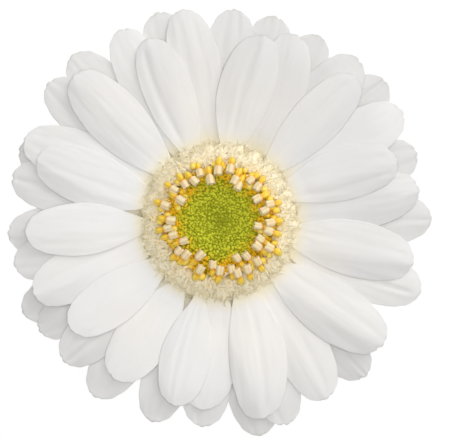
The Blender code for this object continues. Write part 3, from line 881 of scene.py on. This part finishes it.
def petal_mesh(number, ray, settings):
    """One thin petal on the plan of its solid, closed all round."""
    habit = petal_habit(number, settings)
    rings = []
    values = {name: [] for name in ("across", "sideways", "relief", "along", "tone", "age")}
    for row in range(settings.rows + 1):
        step = row / settings.rows
        along = step * (1.0 + ROW_CROWDING * (1.0 - step))
        half, height, camber = (ray[key](along) for key in ("half", "height", "camber"))
        half *= habit["width"] * (1.0 + TIP_FULLNESS * ease(TIP_START, 1.0, along))
        heading = ray["angle"] + ray["turn"] * along
        tip_share = along ** ROUNDING_POWER
        toothed = ease(TEETH_START, 1.0, along)
        upper, lower, places = [], [], []
        for column in range(settings.columns + 1):
            spread = 2.0 * column / settings.columns - 1.0
            across = -spread * (1.0 + COLUMN_CROWDING * (1.0 - spread * spread))
            teeth = sum(depth * bell(across, place, TOOTH_WIDTH) for place, depth in habit["teeth"])
            pull = TIP_ROUNDING * tip_share * across * across + teeth * toothed
            forward = ray["start"] + along * (ray["end"] - ray["start"]) - pull
            side = half * across
            x = forward * math.cos(heading) - side * math.sin(heading)
            y = forward * math.sin(heading) + side * math.cos(heading)
            z = settled_height(math.hypot(x, y), height) + petal_relief(across, along, camber, habit)
            thin = max(across ** 4, ease(TIP_START, 1.0, along))
            upper.append(Vector((x, y, z)))
            lower.append(Vector((x, y, z - settings.body - (settings.edge - settings.body) * thin)))
            places.append(across)
        rings.append(upper + lower[::-1])
        places += places[::-1]
        values["across"] += places
        values["sideways"] += [half * place for place in places]
        values["relief"] += [side_relief(place, along, half, habit) for place in places]
        values["along"] += [along] * len(places)
        values["tone"] += [habit["tone"]] * len(places)
        values["age"] += [habit["age"]] * len(places)
    # The tip is closed by strips between its upper and lower edge, since it isn't flat.
    points, faces = skin_rings(rings, cap_end=False)
    top, bottom = len(points) - len(rings[-1]), len(points) - 1
    for column in range(settings.columns):
        faces.append((top + column, top + column + 1, bottom - column - 1, bottom - column))
    return make_mesh(f"ray_petal_{number:02d}", points, faces, values)


class DAISY_OT_petals(bpy.types.Operator):
    """Make one thin petal over each solid ray floret"""

    bl_idname = "daisy.petals"
    bl_label = "Ray petals"

    def execute(self, context):
        settings = context.scene.daisy_petals
        skin = petal_material(settings)
        for name in sorted(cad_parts):
            if name.startswith("ray_floret_"):
                number = int(name.rsplit("_", 1)[1])
                mesh = petal_mesh(number, read_ray(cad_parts[name]), settings)
                add_piece(mesh.name, mesh, skin, "ray_petal", name)
        return {"FINISHED"}


# ---------------------------------------------------------------- the disc


def even_shares(count):
    """Even steps from 0 to 1."""
    return [index / (count - 1) for index in range(count)]


def bent_line(knots, count):
    """Points along a smooth line through (x, z) knots."""
    stations = even_shares(len(knots))
    read_x, read_z = [smooth_curve(stations, values) for values in zip(*knots)]
    return [Vector((read_x(share), 0.0, read_z(share))) for share in even_shares(count)]


def headings(path):
    """The direction of a line of points at each of them."""
    return [(after - before).normalized()
            for before, after in zip(path[:1] + path[:-1], path[1:] + path[-1:])]


def tube_along(path, outline, sides, seams=0, seam_depth=0.0, mouth=(), crown=0.0):
    """A tube of changing radius along a bent line in the XZ plane: points, faces and values.

    The mouth holds (radius, depth) rings that turn in from the open end, and the crown is
    how far each strip between two seams stands out past the end.
    """
    across = Vector((0.0, 1.0, 0.0))
    stations = list(zip(path, headings(path), outline, even_shares(len(path))))
    end, heading = stations[-1][:2]
    for radius, depth in mouth:
        stations.append((end - heading * depth, heading, radius, 1.0))
    rings, along_values, seam_values = [], [], []
    for place, heading, radius, along in stations:
        up = heading.cross(across)
        ring = []
        for step in range(sides):
            angle = FULL_TURN * step / sides
            lobe = 0.5 + 0.5 * math.cos(seams * angle) if seams else 0.0
            reach = radius * (1.0 - seam_depth * lobe)
            point = place + reach * (math.cos(angle) * across - math.sin(angle) * up)
            ring.append(point + heading * crown * (1.0 - lobe) * ease(0.92, 1.0, along))
            seam_values.append(lobe)
            along_values.append(along)
        rings.append(ring)
    points, faces = skin_rings(rings)
    return points, faces, {"along": along_values, "seam": seam_values}


def bed_mesh(radius, height, rise, fall):
    """The soft green ground between the buds: a dome that dips at its middle."""
    rings, ripe_values = [], []
    sides, rows = 48, 16
    for row in range(rows, 0, -1):
        ripe = row / rows
        z = height + rise * ripe ** 2 - fall * ripe ** 4
        rings.append([Vector((radius * ripe * x, radius * ripe * y, z)) for x, y in circle(sides)])
        ripe_values += [ripe] * sides
    points, faces = skin_rings(rings)
    return make_mesh("disc_bed", points, faces, {"along": [0.5] * len(points), "ripeness": ripe_values})


def knob_mesh(name, outline, sides, flatness):
    """A small barrel from a (radius, height) outline in mm, narrower one way than the other."""
    rings, along_values = [], []
    for radius, height in outline:
        rings.append([Vector((radius * x, radius * flatness * y, height)) * MM for x, y in circle(sides)])
        along_values += [height / outline[-1][1]] * sides
    points, faces = skin_rings(rings)
    return make_mesh(name, points, faces, {"along": along_values})


# The middle line of an anther tube, as (outward, height) in mm, and its radius in mm at shares of it.
ANTHER_LINE = ((2.1, 0.0), (2.5, 1.5), (2.4, 2.8), (1.9, 3.7), (1.0, 4.25), (0.0, 4.55), (-0.95, 4.75))
ANTHER_RADII = ((0.0, 0.5), (0.25, 0.6), (0.38, 0.76), (0.5, 0.84), (0.6, 0.7), (0.65, 0.62), (0.7, 0.96),
                (0.8, 1.02), (1.0, 1.04))


def anther_mesh():
    """One open disc floret's anther tube, which bends in over the eye; its seat is at X 0."""
    count = 26
    path = bent_line([(x * MM, z * MM) for x, z in ANTHER_LINE], count)
    radii = smooth_curve(*zip(*ANTHER_RADII))
    outline = [radii(share) * MM for share in even_shares(count)]
    mouth = ((0.84 * MM, 0.0), (0.5 * MM, 0.2 * MM))
    points, faces, values = tube_along(
        path, outline, 20, seams=5, seam_depth=0.07, mouth=mouth, crown=0.15 * MM)
    return make_mesh("anther_tube", points, faces, values)


# The seats of the open florets, as (angle in degrees, radius in mm), anticlockwise from +X.
INNER_FLORETS = (
    (-7.5, 9.4), (12.5, 10.5), (30.0, 10.6), (61.0, 8.9), (68.5, 10.6), (102.0, 9.8), (122.0, 11.1),
    (151.5, 10.3), (209.5, 9.6), (226.0, 11.0), (241.0, 9.3), (262.0, 10.5), (284.5, 11.4), (296.0, 9.6),
    (308.0, 10.1), (326.5, 10.9), (336.5, 10.7),
)
OUTER_FLORETS = (
    (-11.5, 12.1), (-2.0, 11.9), (18.5, 12.1), (41.5, 12.0), (52.5, 11.7), (78.0, 11.9), (91.0, 11.8),
    (112.0, 11.7), (132.5, 12.2), (145.0, 12.6), (164.0, 12.6), (179.0, 11.7), (188.0, 12.4), (197.0, 11.6),
    (217.0, 11.9), (249.0, 11.9), (270.5, 11.9), (289.5, 12.6), (301.0, 12.8), (314.0, 12.5), (332.0, 13.6),
)


def seat_mesh(name, seats, foot):
    """The seats of a row of open florets, as the points of a mesh at the height of their feet."""
    points = []
    for degrees, radius in seats:
        angle = math.radians(degrees)
        points.append((radius * MM * math.cos(angle), radius * MM * math.sin(angle), foot))
    return make_mesh(name, points, [])


# Outlines of a closed bud and of a ripe one, as (radius, height) in mm.
BUD_OUTLINE = ((0.3, 0.0), (0.38, 0.4), (0.37, 0.75), (0.27, 1.0), (0.09, 1.12))
KNOB_OUTLINE = ((0.45, 0.0), (0.6, 2.0), (0.78, 2.9), (0.8, 3.5), (0.6, 4.05), (0.2, 4.3))
# How far the middle of the eye lies below the top of its solid, and how far the bed is raised and the
# feet of the buds are sunk there, so that no gap shows between them.
EYE_DEPTH = 1.55 * MM
BED_LIFT = 0.3 * MM
# How far the eye reaches past its solid, and how it rises from its dip and then falls to its rim.
EYE_OVERLAP = 2.8 * MM
EYE_RISE = 2.3 * MM
EYE_FALL = 3.6 * MM
# How far the feet of the ripe buds lie below the middle of the eye.
KNOB_DEPTH = 3.6 * MM


class DAISY_OT_buds(bpy.types.Operator):
    """Make the dome of closed disc buds, and the ripe golden ones round it"""

    bl_idname = "daisy.buds"
    bl_label = "Disc buds"

    def execute(self, context):
        settings = context.scene.daisy_disc
        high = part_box("disc_buds")[1]
        height = high.z - EYE_DEPTH
        reach = high.x + EYE_OVERLAP
        tree = spiral_tree()
        skin = bud_material(settings)
        mesh = grow(
            tree, bpy.data.meshes.new("buds"), skin, knob_mesh("bud", BUD_OUTLINE, 7, 0.8),
            count=settings.buds, seed=11, inner_radius=0.0, outer_radius=reach, foot=height - BED_LIFT,
            rise=EYE_RISE, fall=EYE_FALL, lean=0.4, lean_jitter=0.4, spin_jitter=3.1,
            place_jitter=0.12 * MM, size=settings.bud_size, rim_size=1.6, size_jitter=0.2)
        add_piece("disc_bud_dome", mesh, None, "disc_bud", "disc_buds")
        # The bed takes the bud skin halfway along and with no random tone, so it is drawn mostly in the
        # painted shade green of the buds' feet.
        bed = bed_mesh(reach, height + BED_LIFT, EYE_RISE, EYE_FALL)
        add_piece("disc_bed", bed, skin, "disc_bud")
        knobs = grow(
            tree, bpy.data.meshes.new("knobs"), knob_material(settings),
            knob_mesh("knob", KNOB_OUTLINE, 12, 0.9), count=settings.knobs, seed=12,
            inner_radius=10.2 * MM, outer_radius=14.2 * MM, foot=height - KNOB_DEPTH, rise=0.0,
            fall=-0.6 * MM, lean=-0.25, lean_jitter=0.3, spin_jitter=0.6, place_jitter=0.3 * MM,
            size=1.0, rim_size=1.1, size_jitter=0.15)
        add_piece("golden_knobs", knobs, None, "disc_bud")
        return {"FINISHED"}


class DAISY_OT_florets(bpy.types.Operator):
    """Make the two rows of open disc florets"""

    bl_idname = "daisy.florets"
    bl_label = "Open disc florets"

    def execute(self, context):
        settings = context.scene.daisy_disc
        skin = anther_material(settings)
        bloom = anther_mesh()
        tree = seats_tree()
        rows = (("inner_anthers", "inner_disc_florets", INNER_FLORETS, 0.0, 21),
                ("outer_anthers", "outer_disc_florets", OUTER_FLORETS, -0.4 * MM, 22))
        for name, node, seats, drop, seed in rows:
            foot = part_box(node)[0].z + drop
            mesh = grow(
                tree, seat_mesh(name, seats, foot), skin, bloom, seed=seed, lean_jitter=0.12,
                spin_jitter=0.35, size=0.97, size_jitter=0.08)
            add_piece(name, mesh, None, "disc_floret", node)
        return {"FINISHED"}


# ---------------------------------------------------------------- the fringe


def bristle_mesh():
    """One pappus bristle of length 1, which bends over towards its end."""
    path = bent_line([(0.0, 0.0), (0.05, 0.45), (0.25, 0.8), (0.55, 1.0)], 4)
    points, faces, values = tube_along(path, (0.05, 0.045, 0.04, 0.02), 3)
    return make_mesh("pappus_bristle", points, faces, values)


# The felt of the fringe, as (radius, height over the foot of the pappus) in mm from inside to outside.
FELT_PROFILE = (
    (12.4, -0.6), (12.8, 0.4), (13.3, 1.0), (13.9, 1.35), (14.6, 1.35), (15.3, 1.2), (16.0, 0.85),
    (16.7, 0.45), (17.4, 0.0), (18.0, -0.6), (18.4, -1.3), (18.8, -2.6), (19.8, -3.4))


def felt_mesh(foot):
    """The fleecy ring of close bristles, lumpy on top and ragged at its outer edge."""
    sides = 400
    points, faces = [], []
    for x, y in circle(sides):
        edge = Vector((x, y, 0.0))
        # The outer edge is ragged in tufts of about 2 mm and 0.7 mm, and the lumps on top are narrower.
        ragged = 1.2 * noise(9.0 * edge) + 0.8 * noise(25.0 * edge)
        for radius, height in FELT_PROFILE:
            place = radius * edge
            lumps = 0.25 * noise(0.7 * place) + 0.15 * noise(1.8 * place)
            reach = (radius + ragged * ease(15.0, 18.5, radius)) * MM
            lift = (height + lumps * ease(12.6, 14.0, radius)) * MM
            points.append((reach * edge.x, reach * edge.y, foot + lift))
    stride = len(FELT_PROFILE)
    for step in range(sides):
        here, there = step * stride, (step + 1) % sides * stride
        for near in range(stride):
            far = (near + 1) % stride
            faces.append((here + near, here + far, there + far, there + near))
    return make_mesh("pappus_felt", points, faces)


def lip_mesh():
    """One small lip of a floret: a soft ribbon that stands up and rolls outward at its end."""
    rows, columns = 10, 4
    rings, along_values = [], []
    stations = (0.0, 0.35, 0.7, 1.0)
    read_x = smooth_curve(stations, (0.0, 0.2, 1.0, 2.3))
    read_z = smooth_curve(stations, (0.0, 1.0, 1.6, 1.75))
    back = Vector((0.05, 0.0, -0.07)) * MM
    for along in even_shares(rows + 1):
        half = 0.26 * math.sqrt(max(math.sin(math.pi * (0.14 + 0.8 * along)), 0.05))
        upper = []
        for column in range(columns + 1):
            across = 1.0 - 2.0 * column / columns
            dip = 0.14 * (1.0 - across * across)
            upper.append(Vector((read_x(along) - dip, half * across, read_z(along))) * MM)
        rings.append(upper + [place + back for place in reversed(upper)])
        along_values += [along] * len(rings[-1])
    points, faces = skin_rings(rings)
    return make_mesh("floret_lip", points, faces, {"along": along_values})


class DAISY_OT_fringe(bpy.types.Operator):
    """Make the ivory fringe of bristles and curled lips round the disc"""

    bl_idname = "daisy.fringe"
    bl_label = "Fringe"

    def execute(self, context):
        settings = context.scene.daisy_fringe
        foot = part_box("pappus")[0].z
        felt = felt_mesh(foot)
        add_piece("pappus_felt", felt, felt_material(settings), "pappus")
        skin = fringe_material("pappus_bristle", settings.bristle, settings.shade)
        bristles = grow(
            hair_tree(), felt.copy(), skin, bristle_mesh(), seed=31, density=settings.bristles / MM ** 2,
            length=settings.bristle_length, lean_jitter=0.8)
        add_piece("pappus_bristles", bristles, None, "pappus", "pappus")
        skin = fringe_material("floret_lip", settings.lip, settings.lip_foot)
        lips = grow(
            spiral_tree(), bpy.data.meshes.new("lips"), skin, lip_mesh(), count=settings.lips, seed=32,
            inner_radius=12.0 * MM, outer_radius=15.2 * MM, foot=foot - 3.1 * MM, rise=11.0 * MM,
            fall=7.2 * MM, lean=0.1, lean_jitter=0.5, spin_jitter=1.2, place_jitter=0.5 * MM,
            size=0.75, rim_size=0.7, size_jitter=0.2)
        add_piece("floret_lips", lips, None, "pappus")
        return {"FINISHED"}


# ---------------------------------------------------------------- the green cup

# Rows of bracts: node, leaves, middle line as (radius, height) in mm from foot to tip, half width in mm.
BRACT_PATHS = (
    ("inner_bracts", 16, ((11.2, 9.0), (14.0, 11.6), (17.5, 12.2), (20.9, 12.3)), 2.9),
    ("middle_bracts", 14, ((7.9, 5.7), (11.8, 8.9), (15.0, 10.6), (17.6, 11.0)), 2.9),
    ("outer_bracts", 12, ((5.3, 3.3), (8.6, 5.2), (12.2, 7.6), (15.0, 9.3)), 2.8),
)
# How many hairs stand on a square metre of a bract and of the stalk, and how far they lean, in radians.
BRACT_HAIRS = 0.9 / MM ** 2
SCAPE_HAIRS = 4.0 / MM ** 2
HAIR_LEAN = 0.7


def bract_mesh(name, knots, widest):
    """One bract, modelled where it grows: a lance-shaped leaf, keeled along its middle."""
    rows, columns = 18, 8
    path = bent_line([(x * MM, z * MM) for x, z in knots], rows + 1)
    rings, along_values = [], []
    for along, place, heading in zip(even_shares(rows + 1), path, headings(path)):
        out = Vector((heading.z, 0.0, -heading.x))
        half = widest * MM * (0.72 + 0.5 * along - 1.22 * along ** 3) + 0.05 * MM
        upper, lower = [], []
        for column in range(columns + 1):
            across = 1.0 - 2.0 * column / columns
            cup = (half * across) ** 2 / (2.0 * max(place.x, 6.0 * MM))
            keel = 0.25 * MM * bell(across, 0.0, 0.25) * (1.0 - along)
            thick = (0.55 - 0.4 * across * across) * MM * (1.0 - 0.6 * along)
            inner = place + Vector((-cup, half * across, 0.0))
            upper.append(inner)
            lower.append(inner + out * (thick + keel))
        rings.append(upper + lower[::-1])
        along_values += [along] * len(rings[-1])
    points, faces = skin_rings(rings)
    return make_mesh(name, points, faces, {"along": along_values})


def hair_mesh():
    """One soft hair of length 1, thick enough to show."""
    rings = []
    for share in (0.0, 0.6, 1.0):
        reach, bend = 0.035 * (1.0 - 0.75 * share), 0.12 * share * share
        rings.append([Vector((reach * x + bend, reach * y, share)) for x, y in circle(3)])
    points, faces = skin_rings(rings)
    return make_mesh("hair", points, faces)


def stub_mesh(low, high):
    """The cut stub of the stalk: ribbed, a little wider towards the cup, and round at its cut edge."""
    rings = []
    sides, rows, ribs = 96, 12, 11
    for share in even_shares(rows + 1):
        taper = 0.35 * MM * (1.0 - ease(0.4, 1.0, share)) + 0.15 * MM * (1.0 - ease(0.0, 0.06, share))
        height = low.z + (high.z - low.z) * share
        ring = []
        for step, (x, y) in enumerate(circle(sides)):
            rib = 0.06 * MM * (1.0 + math.cos(ribs * FULL_TURN * step / sides))
            reach = high.x - taper - rib
            ring.append((reach * x, reach * y, height))
        rings.append(ring)
    points, faces = skin_rings(rings)
    return make_mesh("scape_stub", points, faces)


class DAISY_OT_cup(bpy.types.Operator):
    """Make the three rows of green bracts and the receptacle's skin"""

    bl_idname = "daisy.cup"
    bl_label = "Bracts and receptacle"

    def execute(self, context):
        settings = context.scene.daisy_cup
        skin = leaf_material("bract_leaf", settings.bract, settings.bract_tip)
        down = leaf_material("bract_hair", settings.bract_hair)
        tree = ring_tree()
        hairs = hair_tree()
        for seed, (node, count, knots, widest) in enumerate(BRACT_PATHS, start=41):
            mesh = grow(
                tree, bpy.data.meshes.new(node), skin, bract_mesh(node, knots, widest), count=count,
                seed=seed, phase=0.2 * seed, spin_jitter=0.04, size_jitter=0.015)
            add_piece(f"{node}_leaves", mesh, None, "bract", node)
            fuzz = grow(
                hairs, mesh.copy(), down, hair_mesh(), seed=seed, density=BRACT_HAIRS,
                length=settings.hair_length, lean_jitter=HAIR_LEAN)
            add_piece(f"{node}_hairs", fuzz, None, "bract")
        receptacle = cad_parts["receptacle"].data
        receptacle.materials.clear()
        receptacle.materials.append(leaf_material("receptacle_flesh", settings.flesh))
        return {"FINISHED"}


class DAISY_OT_scape(bpy.types.Operator):
    """Make the cut stub of the ribbed, hairy stalk"""

    bl_idname = "daisy.scape"
    bl_label = "Scape"

    def execute(self, context):
        settings = context.scene.daisy_cup
        mesh = stub_mesh(*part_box("scape"))
        add_piece("scape_stub", mesh, leaf_material("scape_skin", settings.scape), "scape", "scape")
        # The cut face is the first of the two caps, which are the mesh's last faces.
        mesh.materials.append(leaf_material("scape_pith", settings.pith))
        mesh.polygons[len(mesh.polygons) - 2].material_index = 1
        down = leaf_material("scape_hair", settings.scape_hair)
        fuzz = grow(
            hair_tree(), mesh.copy(), down, hair_mesh(), seed=51, density=SCAPE_HAIRS,
            length=settings.hair_length, lean_jitter=HAIR_LEAN)
        add_piece("scape_hairs", fuzz, None, "scape")
        return {"FINISHED"}


# ---------------------------------------------------------------- the stage

# Where the camera looks down, and the height of the petals, from which its distance is taken.
VIEW_CENTRE = (1.4 * MM, 0.58 * MM)
PETAL_HEIGHT = 18.0 * MM
SENSOR_WIDTH = 36.0
FLOOR_RADIUS = 3.0
FLOOR_SIDES = 64
KEY_AZIMUTH = math.radians(50.0)
KEY_TILT = math.radians(65.0)
KEY_DISTANCE = 4.0
KEY_SIZE = 4.0
OVERHEAD_HEIGHT = 2.5
OVERHEAD_SIZE = 1.2
WARM = (1.0, 0.985, 0.96)
NEUTRAL = (1.0, 1.0, 1.0)


def hang_lamp(name, place, size, power, colour):
    """A round soft lamp at a place, facing the flower."""
    light = bpy.data.lights.new(name, "AREA")
    light.color = colour
    light.shape = "DISK"
    light.size = size
    light.energy = power
    lamp = bpy.data.objects.new(name, light)
    bpy.context.scene.collection.objects.link(lamp)
    lamp.location = place
    lamp.rotation_euler = (-Vector(place)).to_track_quat("-Z", "Y").to_euler()


class DAISY_OT_stage(bpy.types.Operator):
    """Lay the floor, hang the lamps and stand the camera above the flower"""

    bl_idname = "daisy.stage"
    bl_label = "Stage"

    def execute(self, context):
        settings = context.scene.daisy_stage
        scene = context.scene
        ring = [(FLOOR_RADIUS * x, FLOOR_RADIUS * y, 0.0) for x, y in circle(FLOOR_SIDES)]
        mesh = make_mesh("floor", ring, [tuple(range(FLOOR_SIDES))])
        mesh.materials.append(floor_material(settings))
        floor = bpy.data.objects.new("floor", mesh)
        scene.collection.objects.link(floor)

        world = bpy.data.worlds.new("studio")
        scene.world = world
        world.use_nodes = True
        tree = world.node_tree
        strength = add_node(tree, RANGE, {"Value": seen_directly(tree), "To Min": settings.ambient})
        set_inputs(tree, tree.nodes["Background"], {"Color": rgba(NEUTRAL), "Strength": strength})

        hang_lamp("overhead", (0.0, 0.0, OVERHEAD_HEIGHT), OVERHEAD_SIZE, settings.overhead, NEUTRAL)
        out, height = KEY_DISTANCE * math.sin(KEY_TILT), KEY_DISTANCE * math.cos(KEY_TILT)
        place = (out * math.cos(KEY_AZIMUTH), out * math.sin(KEY_AZIMUTH), height)
        hang_lamp("key", place, KEY_SIZE, settings.key, WARM)

        lens = bpy.data.cameras.new("camera")
        lens.sensor_width = SENSOR_WIDTH
        lens.lens = lens.sensor_width * settings.distance / settings.width
        lens.clip_start = 0.01
        lens.clip_end = 20.0
        camera = bpy.data.objects.new("camera", lens)
        scene.collection.objects.link(camera)
        camera.location = (*VIEW_CENTRE, PETAL_HEIGHT + settings.distance)
        scene.camera = camera
        scene.view_settings.view_transform = "Standard"
        return {"FINISHED"}


# ---------------------------------------------------------------- the add-on

SETTINGS = {
    "daisy_petals": PetalSettings,
    "daisy_disc": DiscSettings,
    "daisy_fringe": FringeSettings,
    "daisy_cup": CupSettings,
    "daisy_stage": StageSettings,
}
OPERATORS = (
    DAISY_OT_stage, DAISY_OT_scape, DAISY_OT_cup, DAISY_OT_petals, DAISY_OT_fringe,
    DAISY_OT_florets, DAISY_OT_buds,
)


class DAISY_PT_panel(bpy.types.Panel):
    """Lists the steps that make the flower, and their settings"""

    bl_label = "Gerbera daisy"
    bl_idname = "DAISY_PT_panel"
    bl_space_type = "VIEW_3D"
    bl_region_type = "UI"
    bl_category = "Daisy"

    def draw(self, context):
        for operator in OPERATORS:
            self.layout.operator(operator.bl_idname)
        for name, group in SETTINGS.items():
            box = self.layout.box()
            box.label(text=group.__doc__)
            for key in group.__annotations__:
                box.prop(getattr(context.scene, name), key)


def register():
    """Add the settings, operators and panel to Blender."""
    for group in (*SETTINGS.values(), *OPERATORS, DAISY_PT_panel):
        bpy.utils.register_class(group)
    for name, group in SETTINGS.items():
        setattr(bpy.types.Scene, name, bpy.props.PointerProperty(type=group))


def unregister():
    """Take the settings, operators and panel out of Blender."""
    for name in SETTINGS:
        delattr(bpy.types.Scene, name)
    for group in (*SETTINGS.values(), *OPERATORS, DAISY_PT_panel):
        bpy.utils.unregister_class(group)


def main():
    """Make the whole flower."""
    register()
    for operator in OPERATORS:
        group, name = operator.bl_idname.split(".")
        getattr(getattr(bpy.ops, group), name)()


if __name__ == "__main__":
    main()
